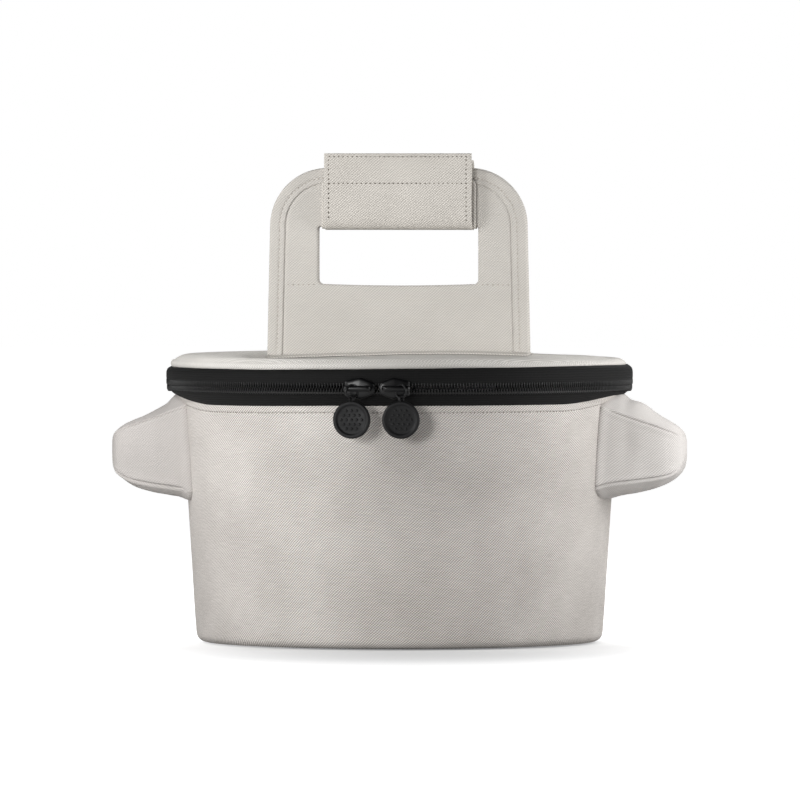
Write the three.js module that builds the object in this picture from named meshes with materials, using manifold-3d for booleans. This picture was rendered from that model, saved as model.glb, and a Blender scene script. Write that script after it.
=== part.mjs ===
// Round padded canvas carrier for a lidded casserole.
// Millimetres. +X is the right-hand pocket, -Y the front with the zip pulls, +Z up. The base centre is the origin.
import * as THREE from "three";
import { mergeVertices } from "three/addons/utils/BufferGeometryUtils.js";
import Module from "manifold-3d";

const wasm = await Module();
wasm.setup();

// Driving dimensions
const gap = 0.3;
const turnSteps = 48;
const canvas = 1.2;
const foam = 5;
const lining = 0.8;

const baseFlatRadius = 134.5;
const baseCorner = 7;
const wallFootZ = 8.3;
const wallTopZ = 166.9;
const rimZ = 169;
const wallStations = [[0, 140.9], [100, 148], [rimZ, 152.8]];

const coilRadius = 162.8;
const coilDepth = 2.8;
const chainZ = 181;
const coilInnerHalf = 1.1;
const coilOuterHalf = 4.1;
const tapeThick = 0.9;
const zipEndDeg = 155.7;
const hingeStartDeg = 158;

const lidRimZ = 193;
const lidRimRadius = 159.6;
const lidCrownZ = 203.5;

const handleAxisZ = 209.4;
const footRadius = 5.6;
const panelFootHalf = 91.6;
const panelTopHalf = 89.5;
const panelTopZ = 332;
const panelCorner = 40.6;
const windowHalf = 56;
const windowLowZ = 249.6;
const windowHighZ = 290.8;
const windowCorner = 9;
const windowTopCorner = 1.5;
const hemWidth = 9;

const sleeveHalf = 54;
const flapHalf = 51.7;
const flapTopZ = 342.2;
const flapFootZ = 288.3;

const sliderDeg = 4.2;
const sliderHalfLength = 10.3;
const bailRadius = 1.7;
const bailOut = 170.6;
const ringRadius = 4.6;
const wireRadius = 0.6;
const ringYawDeg = 48;
const discRadius = 13;

const colours = {
  canvas: 0xd4cfc7,
  lining: 0xa9a6a1,
  foam: 0xe9e7e1,
  board: 0x55534f,
  zip: 0x2b2a2a,
  metal: 0x242426,
  hook: 0xb9b4ac,
};

// Small helpers
const radians = (deg) => (deg * Math.PI) / 180;

function between(stations, at, column = 1) {
  const last = stations.length - 1;
  let i = 0;
  while (i < last - 1 && at > stations[i + 1][0]) i += 1;
  const [a, b] = [stations[i], stations[i + 1]];
  const share = (at - a[0]) / (b[0] - a[0]);
  return a[column] + (b[column] - a[column]) * share;
}

const wallRadius = (z) => between(wallStations, z);

function closed(geometry) {
  geometry.deleteAttribute("normal");
  geometry.deleteAttribute("uv");
  const merged = mergeVertices(geometry, 1e-4);
  const index = Array.from(merged.index.array);
  const kept = [];
  for (let i = 0; i < index.length; i += 3) {
    const [a, b, c] = index.slice(i, i + 3);
    if (a !== b && b !== c && c !== a) kept.push(a, b, c);
  }
  const points = merged.attributes.position.array;
  let volume = 0;
  const corner = (k) => new THREE.Vector3().fromArray(points, 3 * k);
  for (let i = 0; i < kept.length; i += 3) {
    volume += corner(kept[i]).dot(corner(kept[i + 1]).cross(corner(kept[i + 2])));
  }
  if (volume < 0) kept.reverse();
  return { points, kept };
}

function solid(geometry) {
  const { points, kept } = closed(geometry);
  const mesh = new wasm.Mesh({
    numProp: 3,
    vertProperties: new Float32Array(points),
    triVerts: new Uint32Array(kept),
  });
  return new wasm.Manifold(mesh);
}

function geometryOf(body) {
  const mesh = body.getMesh();
  const geometry = new THREE.BufferGeometry();
  geometry.setAttribute("position", new THREE.BufferAttribute(new Float32Array(mesh.vertProperties), 3));
  geometry.setIndex(new THREE.BufferAttribute(new Uint32Array(mesh.triVerts), 1));
  geometry.computeVertexNormals();
  return geometry;
}

const carrier = new THREE.Group();

function add(name, body, colour) {
  const material = new THREE.MeshStandardMaterial({ color: colours[colour], roughness: 0.85 });
  const mesh = new THREE.Mesh(geometryOf(body), material);
  mesh.name = name;
  carrier.add(mesh);
}

function turned(profile) {
  const onAxis = profile[0][0] === 0 && profile[profile.length - 1][0] === 0;
  const loop = onAxis ? profile : [...profile, profile[0]];
  const points = loop.map(([r, z]) => new THREE.Vector2(r, z));
  const geometry = new THREE.LatheGeometry(points, turnSteps);
  geometry.rotateX(Math.PI / 2);
  return solid(geometry);
}

function block(low, high) {
  const size = high.map((v, i) => v - low[i]);
  const geometry = new THREE.BoxGeometry(...size);
  geometry.translate(...low.map((v, i) => v + size[i] / 2));
  return solid(geometry);
}

function extruded(shape, depth, curveSegments = 6) {
  return new THREE.ExtrudeGeometry(shape, { depth, bevelEnabled: false, curveSegments });
}

// A wedge seen from above, from one angle to another, counted from the front towards +X.
function wedge(fromDeg, toDeg) {
  const reach = 400;
  const shape = new THREE.Shape();
  shape.moveTo(0, 0);
  const steps = 6;
  for (let i = 0; i <= steps; i += 1) {
    const at = radians(fromDeg + ((toDeg - fromDeg) * i) / steps);
    shape.lineTo(reach * Math.sin(at), -reach * Math.cos(at));
  }
  return solid(extruded(shape, 400));
}

// A layer of the side wall between two depths below the outer face.
function wallLayer(outerDepth, innerDepth, footZ, topZ) {
  const heights = [footZ, 100, topZ];
  const outer = heights.map((z) => [wallRadius(z) - outerDepth, z]);
  const inner = heights.map((z) => [wallRadius(z) - innerDepth, z]);
  return turned([...outer, ...inner.reverse()]);
}

// Thickens a line of [r, z] points by half a thickness to each side.
function band(line, thick) {
  const outer = [];
  const inner = [];
  line.forEach(([r, z], i) => {
    const [r0, z0] = line[Math.max(i - 1, 0)];
    const [r1, z1] = line[Math.min(i + 1, line.length - 1)];
    const length = Math.hypot(r1 - r0, z1 - z0);
    const nr = ((z1 - z0) / length) * (thick / 2);
    const nz = (-(r1 - r0) / length) * (thick / 2);
    outer.push([r + nr, z + nz]);
    inner.push([r - nr, z - nz]);
  });
  return turned([...outer, ...inner.reverse()]);
}

// Side pockets: half width, bottom and top along X
const pocketStations = [
  [120, 48.5, 96, 169],
  [153, 47.3, 101.5, 168.6],
  [171, 45, 106.6, 165.2],
  [183, 42, 110.2, 158.5],
  [192, 38, 115.2, 152.4],
  [197.5, 32, 122, 146.8],
  [200.5, 22, 131, 141],
];
const pocketWindow = { half: 40, low: 108, high: 154, corner: 14 };

// A rounded-box section carried along X; inset shrinks it evenly.
function pocketSolid(side, inset) {
  const steps = 20;
  const squareness = 0.5;
  const rounded = (v) => Math.sign(v) * Math.abs(v) ** squareness;
  const rings = pocketStations.map(([x, half, low, high]) => {
    const middle = (low + high) / 2;
    const tall = (high - low) / 2 - inset;
    const wide = half - inset;
    const endX = Math.min(x, pocketStations.at(-1)[0] - inset + (x - pocketStations.at(-1)[0]) * 0.5);
    const ring = [];
    for (let i = 0; i < steps; i += 1) {
      const at = (2 * Math.PI * i) / steps;
      ring.push([side * endX, wide * rounded(Math.cos(at)), middle + tall * rounded(Math.sin(at))]);
    }
    return { ring, centre: [side * endX, 0, middle] };
  });
  const points = [];
  const index = [];
  rings.forEach(({ ring }) => ring.forEach((p) => points.push(...p)));
  for (let r = 0; r < rings.length - 1; r += 1) {
    for (let i = 0; i < steps; i += 1) {
      const j = (i + 1) % steps;
      const [a, b] = [r * steps + i, r * steps + j];
      index.push(a, b, a + steps, b, b + steps, a + steps);
    }
  }
  const firstCentre = points.length / 3;
  points.push(...rings[0].centre, ...rings.at(-1).centre);
  const tip = (rings.length - 1) * steps;
  for (let i = 0; i < steps; i += 1) {
    const j = (i + 1) % steps;
    index.push(firstCentre, j, i);
    index.push(firstCentre + 1, tip + i, tip + j);
  }
  const geometry = new THREE.BufferGeometry();
  geometry.setAttribute("position", new THREE.Float32BufferAttribute(points, 3));
  geometry.setIndex(index);
  return solid(geometry);
}

function roundedRectangle(half, low, high, corner, topCorner = corner) {
  const shape = new THREE.Shape();
  shape.moveTo(-half + corner, low);
  shape.lineTo(half - corner, low);
  shape.absarc(half - corner, low + corner, corner, -Math.PI / 2, 0);
  shape.lineTo(half, high - topCorner);
  shape.absarc(half - topCorner, high - topCorner, topCorner, 0, Math.PI / 2);
  shape.lineTo(-half + topCorner, high);
  shape.absarc(-half + topCorner, high - topCorner, topCorner, Math.PI / 2, Math.PI);
  shape.lineTo(-half, low + corner);
  shape.absarc(-half + corner, low + corner, corner, Math.PI, 1.5 * Math.PI);
  return shape;
}

// Window through the wall layers into both pockets
const windowShape = roundedRectangle(pocketWindow.half, pocketWindow.low, pocketWindow.high, pocketWindow.corner);
const windowGeometry = extruded(windowShape, 500, 3);
windowGeometry.translate(0, 0, -250);
windowGeometry.rotateX(Math.PI / 2);
windowGeometry.rotateZ(Math.PI / 2);
const pocketOpening = solid(windowGeometry);

// Wall layers
const foamDepth = canvas + gap;
const liningDepth = foamDepth + foam + gap;
const insideDepth = liningDepth + lining;
add("outer_wall", wallLayer(0, canvas, wallFootZ, wallTopZ).subtract(pocketOpening), "canvas");
add("wall_foam", wallLayer(foamDepth, foamDepth + foam, wallFootZ + gap, wallTopZ).subtract(pocketOpening), "foam");
add("wall_lining", wallLayer(liningDepth, insideDepth, wallFootZ + gap, wallTopZ).subtract(pocketOpening), "lining");
const rimOuter = wallRadius(rimZ);
add("rim_facing", turned([
  [rimOuter - insideDepth, wallTopZ + gap],
  [rimOuter, wallTopZ + gap],
  [rimOuter, rimZ - 0.5],
  [rimOuter - 0.5, rimZ],
  [rimOuter - insideDepth, rimZ],
]), "canvas");

// Base layers
const cornerSteps = 3;
const dishOuter = [];
const dishInner = [];
for (let i = 0; i <= cornerSteps; i += 1) {
  const at = (Math.PI / 2) * (i / cornerSteps);
  dishOuter.push([baseFlatRadius + baseCorner * Math.sin(at), baseCorner - baseCorner * Math.cos(at)]);
  const small = baseCorner - canvas;
  dishInner.push([baseFlatRadius + small * Math.sin(at), baseCorner - small * Math.cos(at)]);
}
const dishTopZ = wallFootZ - gap;
const dishEdge = [[baseFlatRadius + baseCorner, dishTopZ], [baseFlatRadius + baseCorner - canvas, dishTopZ]];
add("base_panel", turned([[0, 0], ...dishOuter, ...dishEdge, ...dishInner.reverse(), [0, canvas]]), "canvas");
const boardLow = canvas + gap;
const boardHigh = boardLow + 2;
const baseFoamHigh = wallFootZ;
const disc = (radius, low, high) => turned([[0, low], [radius, low], [radius, high], [0, high]]);
add("base_board", disc(133, boardLow, boardHigh), "board");
add("base_foam", disc(138.6, boardHigh + gap, baseFoamHigh), "foam");
add("base_lining", disc(133.7, baseFoamHigh + gap, baseFoamHigh + gap + lining), "lining");

// Pockets, cut to sit on the outer wall
const pocketThick = 2;
const wallCone = turned([[0, 0], ...[0, 100, rimZ, 190].map((z) => [wallRadius(z) + gap, z]), [0, 190]]);
for (const [name, side] of [["left", -1], ["right", 1]]) {
  const hollow = pocketSolid(side, pocketThick);
  add(`${name}_pocket`, pocketSolid(side, 0).subtract(hollow).subtract(wallCone), "canvas");
  const liner = pocketSolid(side, pocketThick + gap).subtract(pocketSolid(side, pocketThick + gap + lining));
  add(`${name}_pocket_lining`, liner.subtract(wallCone), "lining");
}

// Zip tapes, coils and end stops, open at the rear where the hinge panel sits
const lowerTapeLine = [[152.3, 169.9], [156.5, 171.3], [160, 173.8], [161.7, 176.5]];
const upperTapeLine = [[162.8, 185.5], [162.7, 188], [161.4, 190.8], [159.4, 192.5]];
const behind = wedge(zipEndDeg, 360 - zipEndDeg);
const hingeWedge = wedge(hingeStartDeg, 360 - hingeStartDeg);
const coilAt = (low, high) => turned([
  [coilRadius - coilDepth / 2, low],
  [coilRadius + coilDepth / 2, low],
  [coilRadius + coilDepth / 2, high],
  [coilRadius - coilDepth / 2, high],
]);
add("lower_zip_tape", band(lowerTapeLine, tapeThick).subtract(hingeWedge), "zip");
add("upper_zip_tape", band(upperTapeLine, tapeThick).subtract(hingeWedge), "zip");
add("lower_zip_coil", coilAt(chainZ - coilOuterHalf, chainZ - coilInnerHalf).subtract(behind), "zip");
add("upper_zip_coil", coilAt(chainZ + coilInnerHalf, chainZ + coilOuterHalf).subtract(behind), "zip");
const stopWide = 1.3;
const stopRing = coilAt(chainZ - coilOuterHalf, chainZ - coilInnerHalf + 0.4);
const stopFrom = zipEndDeg + 0.2;
add("left_end_stop", stopRing.intersect(wedge(-stopFrom - stopWide, -stopFrom)), "metal");
add("right_end_stop", stopRing.intersect(wedge(stopFrom, stopFrom + stopWide)), "metal");

// Hinge panel at the rear, in two halves that part along the bend
const hingeWide = wedge(hingeStartDeg + 0.3, 359.7 - hingeStartDeg);
const hingeLowLine = [...lowerTapeLine, [162.3, 179]];
const hingeHighLine = [[162.8, 183], ...upperTapeLine];
add("hinge_panel_lower", band(hingeLowLine, canvas).intersect(hingeWide), "canvas");
add("hinge_panel_upper", band(hingeHighLine, canvas).intersect(hingeWide), "canvas");

// Lid layers
const crown = [[0, lidCrownZ], [80, lidCrownZ - 0.3], [140, lidCrownZ - 1.5], [149, lidCrownZ - 2.9]];
const shoulder = [[154.5, lidCrownZ - 4.7], [lidRimRadius - 0.4, lidRimZ + 3.7]];
const lidOuter = [...crown, ...shoulder];
const under = (points, drop, draw) => points.map(([r, z]) => [Math.max(r - draw * (r > 140), 0), z - drop]);
add("lid_top_panel", turned([...lidOuter, ...under(lidOuter, canvas, 0.6).slice(0, -1).reverse()]), "canvas");
const foamLow = lidRimZ + 1.2;
const foamTop = under([...crown, shoulder[0]], canvas + 2 * gap, 0.8);
add("lid_foam", turned([...foamTop, [156.6, lidRimZ + 2.6], [156.6, foamLow], [0, foamLow]]), "foam");
add("lid_board", disc(150, lidRimZ, foamLow - gap), "board");
add("lid_lining", disc(156.4, lidRimZ - gap - lining, lidRimZ - gap), "lining");
add("lid_rim_binding", turned([
  [157, lidRimZ + gap],
  [lidRimRadius, lidRimZ + gap],
  [lidRimRadius + 0.3, lidRimZ + 1.8],
  [lidRimRadius - 0.2, lidRimZ + 3.3],
  [157, lidRimZ + 3.3],
]), "canvas");

// Flanges that sew the carry panels to the lid
const flangeLow = lidCrownZ + 0.4;
add("front_foot_flange", block([-panelFootHalf, -19, flangeLow], [panelFootHalf, -7, flangeLow + 1]), "canvas");
add("rear_foot_flange", block([-panelFootHalf, 7, flangeLow], [panelFootHalf, 19, flangeLow + 1]), "canvas");

// Outline of a carry panel, drawn in from its edge by an inset
function panelShape(inset, footZ) {
  const top = panelTopZ - inset;
  const bottom = footZ + inset;
  const lowHalf = panelFootHalf - inset;
  const highHalf = panelTopHalf - inset;
  const corner = panelCorner - inset;
  const shape = new THREE.Shape();
  shape.moveTo(-lowHalf, bottom);
  shape.lineTo(lowHalf, bottom);
  shape.lineTo(highHalf, top - corner);
  shape.absarc(highHalf - corner, top - corner, corner, 0, Math.PI / 2);
  shape.lineTo(-highHalf + corner, top);
  shape.absarc(-highHalf + corner, top - corner, corner, Math.PI / 2, Math.PI);
  shape.closePath();
  const [low, high] = [windowLowZ - inset, windowHighZ + inset];
  shape.holes.push(roundedRectangle(windowHalf + inset, low, high, windowCorner + inset, windowTopCorner + inset));
  return shape;
}

// One layer of a carry panel between two distances from the middle plane
function panelLayer(side, near, far, inset) {
  const footZ = handleAxisZ - Math.sqrt(footRadius ** 2 - far ** 2);
  const geometry = extruded(panelShape(inset, footZ), far - near, 5);
  geometry.rotateX(Math.PI / 2);
  geometry.translate(0, side > 0 ? far : -near, 0);
  return solid(geometry);
}

const backNear = 0.8;
const faceFar = 5.5;
for (const [name, side] of [["front", -1], ["rear", 1]]) {
  add(`${name}_handle_back`, panelLayer(side, backNear, backNear + 1, 0), "canvas");
  add(`${name}_handle_core`, panelLayer(side, backNear + 1 + gap, faceFar - 1 - gap, hemWidth), "foam");
  add(`${name}_handle_face`, panelLayer(side, faceFar - 1, faceFar, 0), "canvas");
}

// Grip wrap: sleeve round both bars, and the front flap with its hook-and-loop pair
const sleeveThick = 2.5;
const sleeveIn = faceFar + gap;
const sleeveOut = sleeveIn + sleeveThick;
const sleeveLow = windowHighZ - gap;
const sleeveHigh = panelTopZ + gap;
const barSpace = block([-100, -sleeveIn, sleeveLow], [100, sleeveIn, sleeveHigh]);
const sleeveCorner = 2.4;
const sleeveShape = roundedRectangle(sleeveOut, sleeveLow - sleeveThick, sleeveHigh + sleeveThick, sleeveCorner);
const sleeveGeometry = extruded(sleeveShape, 2 * sleeveHalf, 3);
sleeveGeometry.rotateX(Math.PI / 2);
sleeveGeometry.rotateZ(Math.PI / 2);
sleeveGeometry.translate(-sleeveHalf, 0, 0);
add("grip_sleeve", solid(sleeveGeometry).subtract(barSpace), "canvas");
const stripThick = 1;
const loopFace = -sleeveOut - gap;
const hookFace = loopFace - stripThick - gap;
const flapFace = hookFace - stripThick - gap;
const stripHalf = flapHalf - 4;
add("loop_strip", block([-stripHalf, loopFace - stripThick, 313], [stripHalf, loopFace, 333]), "hook");
add("hook_strip", block([-stripHalf, hookFace - stripThick, 319], [stripHalf, hookFace, 339]), "hook");
add("grip_flap", block([-flapHalf, flapFace - 2.2, flapFootZ], [flapHalf, flapFace, flapTopZ]), "canvas");

// Zip sliders and pulls, built facing the front and then turned round the rim.
// Before the turn, X runs along the zip, -Y points outwards, and the nose is on the side given by nose.
function sliderBody(nose) {
  const outline = (tall) => {
    const shape = new THREE.Shape();
    const back = -nose * sliderHalfLength;
    shape.moveTo(back, -tall * 0.8);
    shape.lineTo(nose * 4, -tall);
    shape.lineTo(nose * (sliderHalfLength - 2), -tall * 0.62);
    shape.lineTo(nose * sliderHalfLength, 0);
    shape.lineTo(nose * (sliderHalfLength - 2), tall * 0.62);
    shape.lineTo(nose * 4, tall);
    shape.lineTo(back, tall * 0.8);
    shape.closePath();
    return shape;
  };
  const plate = (tall, near, thick) => {
    const geometry = extruded(outline(tall), thick);
    geometry.rotateX(Math.PI / 2);
    geometry.translate(0, -near, chainZ);
    return solid(geometry);
  };
  const post = [nose * 4.5, nose * 8];
  const neck = block([Math.min(...post), -165.5, chainZ - 0.8], [Math.max(...post), -159, chainZ + 0.8]);
  return plate(7.2, 164.7, 1.8).add(plate(5.4, 158.2, 1.5)).add(neck);
}

const bailShift = 1.2;
const bailHalf = 8.8;
function sliderBail(nose) {
  const bar = new THREE.CylinderGeometry(bailRadius, bailRadius, 2 * bailHalf, 12);
  bar.rotateZ(Math.PI / 2);
  bar.translate(-nose * bailShift, -bailOut, chainZ);
  const plateFace = 164.7 + 1.8 + gap;
  let bail = solid(bar);
  for (const end of [-1, 1]) {
    const ends = [end * bailHalf, end * (bailHalf - 1)].map((x) => x - nose * bailShift);
    bail = bail.add(block(
      [Math.min(...ends), -bailOut, chainZ - 1.4],
      [Math.max(...ends), -plateFace, chainZ + 1.4],
    ));
  }
  return bail;
}

const ringShift = bailShift + 3.3;
const ringCentreZ = chainZ + bailRadius + gap + wireRadius - ringRadius;
const ringFootZ = ringCentreZ - ringRadius;
function pullRing(nose) {
  const ring = new THREE.TorusGeometry(ringRadius, wireRadius, 6, 20);
  ring.rotateX(Math.PI / 2);
  ring.rotateZ(nose * radians(90 - ringYawDeg));
  ring.translate(-nose * ringShift, -bailOut, ringCentreZ);
  return solid(ring);
}

// Pull disc: raised rim, dished middle, and an eye for the ring
function pullDisc(nose) {
  const eyeRadius = 1.4;
  const eyeZ = ringFootZ + wireRadius + 0.2 - eyeRadius;
  const discZ = eyeZ - 1.3 - discRadius;
  const half = [[0, 1], [10, 1], [10.8, 1.7], [12.3, 1.7], [discRadius, 0.9]];
  const mirrored = half.map(([r, z]) => [r, -z]).reverse();
  const profile = [...half, ...mirrored].map(([r, z]) => new THREE.Vector2(r, z));
  const face = new THREE.LatheGeometry(profile, 24);
  face.translate(-nose * ringShift, -bailOut, discZ);
  const eyeAlong = (radius, length) => {
    const tube = new THREE.CylinderGeometry(radius, radius, length, 12);
    tube.rotateZ(Math.PI / 2);
    tube.rotateZ(nose * radians(90 - ringYawDeg));
    tube.translate(-nose * ringShift, -bailOut, eyeZ);
    return solid(tube);
  };
  return solid(face).add(eyeAlong(2.4, 2.2)).subtract(eyeAlong(eyeRadius, 6));
}

for (const [name, side] of [["left", -1], ["right", 1]]) {
  const nose = -side;
  const turn = [0, 0, side * sliderDeg];
  add(`${name}_slider`, sliderBody(nose).rotate(turn), "metal");
  add(`${name}_slider_bail`, sliderBail(nose).rotate(turn), "metal");
  add(`${name}_pull_ring`, pullRing(nose).rotate(turn), "metal");
  add(`${name}_pull_disc`, pullDisc(nose).rotate(turn), "metal");
}

export default carrier;
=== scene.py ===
"""Casserole carrier: canvas shell with ear pockets, rim zip, padded lid, carry panels and grip wrap."""

import bmesh
import bpy
import numpy as np
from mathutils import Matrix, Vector


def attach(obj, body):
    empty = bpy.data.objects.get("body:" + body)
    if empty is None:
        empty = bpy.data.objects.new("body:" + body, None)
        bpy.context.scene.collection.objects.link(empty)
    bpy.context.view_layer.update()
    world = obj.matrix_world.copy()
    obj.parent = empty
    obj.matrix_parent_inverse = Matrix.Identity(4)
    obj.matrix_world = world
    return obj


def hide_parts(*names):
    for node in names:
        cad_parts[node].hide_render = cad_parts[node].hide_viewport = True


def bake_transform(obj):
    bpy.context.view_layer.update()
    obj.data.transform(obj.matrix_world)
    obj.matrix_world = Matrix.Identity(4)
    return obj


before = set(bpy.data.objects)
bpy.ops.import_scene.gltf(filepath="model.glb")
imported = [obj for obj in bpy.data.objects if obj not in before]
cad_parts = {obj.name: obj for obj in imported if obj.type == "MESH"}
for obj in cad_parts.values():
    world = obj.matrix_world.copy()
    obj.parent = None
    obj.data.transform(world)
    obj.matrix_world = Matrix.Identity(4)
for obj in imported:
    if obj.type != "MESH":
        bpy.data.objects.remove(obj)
scene = bpy.context.scene
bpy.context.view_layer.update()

# Driving sizes in millimetres and angles in radians, most of them the same as in the solids
MM = 0.001
CHAIN_Z = 181.0
COIL_RADIUS = 162.8
RIM_Z = 168.7
RIM_RISE = 5.0
BASE_FLAT = 134.9
BASE_CORNER = 7.0
BASE_LIFT = 0.9
LINING_DEPTH = 7.6
LINING_FOOT = 9.6
ZIP_END = np.radians(155.7)
TAPE_END = np.radians(160.0)
HINGE_EDGE = np.radians(158.0)
HINGE_BEND = ((0, COIL_RADIUS, CHAIN_Z - 3.5), (0, COIL_RADIUS, CHAIN_Z + 3.5))
POCKET_WINDOW = (75.0, 105.0, 108.0, 154.0)
WINDOW_RADIUS = 148.0
POCKET_HALF = (49.0, 30.0)
POCKET_START = 146.0
POCKET_TIP = 201.0
POCKET_MIDDLE = 136.0
LINER_INSET = 2.6
LID_LINING_Z = 191.6
LID_PAD_Z = 194.3
BINDING_Z = 195.7
BINDING_RADIUS = 158.3
PANEL_FOOT = 196.0
PANEL_TOP = 332.0
PANEL_HALF = (92.3, 90.2)
PANEL_HALF_THICK = 1.85
PANEL_CORNER = 40.6
PANEL_SHIFT = -0.5
PANEL_MIDDLE = 3.15
PANEL_BEND = ((0, 0, 201.0), (0, 0, 214.0))
HAND_WINDOW = (56.0, 250.9, 290.8)
HEM_EDGE = 10.6
HEM_STITCH = 7.0
HEM_LIFT = 2.0
FOOT_HALF = 91.6
FOOT_STITCHES = (9.0, 16.5)
WRAP_HALF = 51.7
WRAP_BEND = ((0, -10.2, 290.0), (0, -12.2, 290.0))
PAD_HALF = 54.0
PAD_DEPTH = 8.3
PAD_Z = (289.4, 334.8)
PAD_CORNER = 4.5
PATCH_HALF = 47.7
SLIDER_TURN = np.radians(4.2)
BAIL_OUT = 170.6
RING_RADIUS = 4.6
RING_WIRE = 0.62
RING_SHIFT = 4.5
RING_TURN = np.radians(42.0)
RING_Z = CHAIN_Z + 1.7 + 0.3 + 0.6 - RING_RADIUS
EYE_Z = RING_Z - RING_RADIUS + 0.6 + 0.2 - 1.4
EYE_RADIUS = 1.95
EYE_WIRE = (0.5, 1.1)
DISC_RADIUS = 13.0
DISC_Z = EYE_Z - 1.3 - DISC_RADIUS

# Cloth thicknesses and sewing in millimetres; stitches, teeth and pips by half their sizes
CANVAS_THICK = 1.2
FACING_THICK = 0.7
HINGE_THICK = 0.9
POCKET_THICK = 1.6
PAD_THICK = 1.8
WRAP_THICK = 1.5
LINING_THICK = 0.6
TAPE_THICK = 0.8
FOOT_THICK = 0.8
TRIM_HALF = 1.7
RIM_STITCH = 4.7
BASE_STITCH = 127.8
STITCH_PITCH = 3.1
STITCH_HALF = (0.65, 0.42, 0.3)
TOOTH_PITCH = 2.1
TOOTH_HALF = (0.48, 2.9, 0.8)
PIP_HALF = (1.15, 1.15, 0.6)
UP = np.array([0.0, 0.0, 1.0])


# Small geometry tools
def ramp(low, high, value):
    """0 below low, 1 above high, and an even S-curve between them."""
    share = np.clip((value - low) / (high - low), 0, 1)
    return share * share * (3 - 2 * share)


def bump(middle, width, value):
    """A bell of height 1 round the middle: e to the minus square of the distance over the width."""
    return np.exp(-(((value - middle) / width) ** 2))


def circle(count):
    """Even angles round a full turn."""
    return np.linspace(0, 2 * np.pi, count, endpoint=False)


def stacked(*parts):
    """Coordinates spread over one grid of points."""
    return np.stack(np.broadcast_arrays(*parts), -1)


def travel_along(line):
    """The length from the first point of a line to each of its points."""
    return np.r_[0, np.cumsum(np.linalg.norm(np.diff(line, axis=0), axis=1))]


def sampled(line, travel, at):
    """The points of a line at given lengths along it."""
    return np.stack([np.interp(at, travel, column) for column in line.T], 1)


def smooth_line(stations, count):
    """A Catmull-Rom curve through the stations, given as count points an even length apart."""
    stations = np.asarray(stations, float)
    run = np.pad(stations, ((1, 1), (0, 0)), mode="reflect", reflect_type="odd")
    fine = np.linspace(0, len(stations) - 1, 40 * len(stations))
    at = np.minimum(fine.astype(int), len(stations) - 2)
    t = (fine - at)[:, None]
    a, b, c, d = run[at], run[at + 1], run[at + 2], run[at + 3]
    square = a - 2.5 * b + 2 * c - d / 2
    cube = 1.5 * (b - c) + (d - a) / 2
    curve = b + (c - a) * t / 2 + square * t**2 + cube * t**3
    travel = travel_along(curve)
    return sampled(curve, travel, np.linspace(0, travel[-1], count))


def around(radius, angle, height):
    """Points at a radius and height, the angle counted from the front middle towards the right."""
    return stacked(radius * np.sin(angle), -radius * np.cos(angle), height)


def turned(points, angle):
    """Points turned about the upright axis through the middle of the bag."""
    x, y, z = np.moveaxis(points, -1, 0)
    return np.stack([x * np.cos(angle) - y * np.sin(angle), x * np.sin(angle) + y * np.cos(angle), z], -1)


def ripple(across, up):
    """Slow uneven waves of soft cloth, about one high: three sines that drift with the height."""
    return (
        0.5 * np.sin(3 * across + 1.3 + up / 70)
        + 0.35 * np.sin(5 * across - 2.1 - up / 45)
        + 0.25 * np.sin(8 * across + 0.7 + up / 30)
    )


def rounded_loop(half_low, half_high, low, high, corner_low, corner_high, counts=(40, 8, 40, 24)):
    """A closed loop, anticlockwise from bottom left: straight edges joined by quarter circles.
    counts are the points along the bottom or top, a low corner, a side, and a high corner."""
    edge, small, side, large = counts

    def straight(start, end, count):
        """Even points from the start up to the last one before the end."""
        share = np.arange(count)[:, None] / count
        return np.asarray(start) * (1 - share) + np.asarray(end) * share

    def arc(centre, radius, start, count):
        """Even points on a quarter circle, from a start in degrees to the last one before its end."""
        turn = np.radians(start + 90 * np.arange(count) / count)
        return np.asarray(centre) + radius * np.stack([np.cos(turn), np.sin(turn)], 1)

    foot, head = half_low - corner_low, half_high - corner_high
    step, brow = low + corner_low, high - corner_high
    return np.vstack([
        straight((-foot, low), (foot, low), edge),
        arc((foot, step), corner_low, -90, small),
        straight((half_low, step), (half_high, brow), side),
        arc((head, brow), corner_high, 0, large),
        straight((head, high), (-head, high), edge),
        arc((-head, brow), corner_high, 90, large),
        straight((-half_high, brow), (-half_low, step), side),
        arc((-foot, step), corner_low, 180, small),
    ])


def inward(loop):
    """Unit normals into a closed anticlockwise loop: its tangent turned a quarter to the left."""
    along = np.roll(loop, -1, 0) - np.roll(loop, 1, 0)
    along /= np.linalg.norm(along, axis=1)[:, None]
    return np.stack([-along[:, 1], along[:, 0]], 1)


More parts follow.
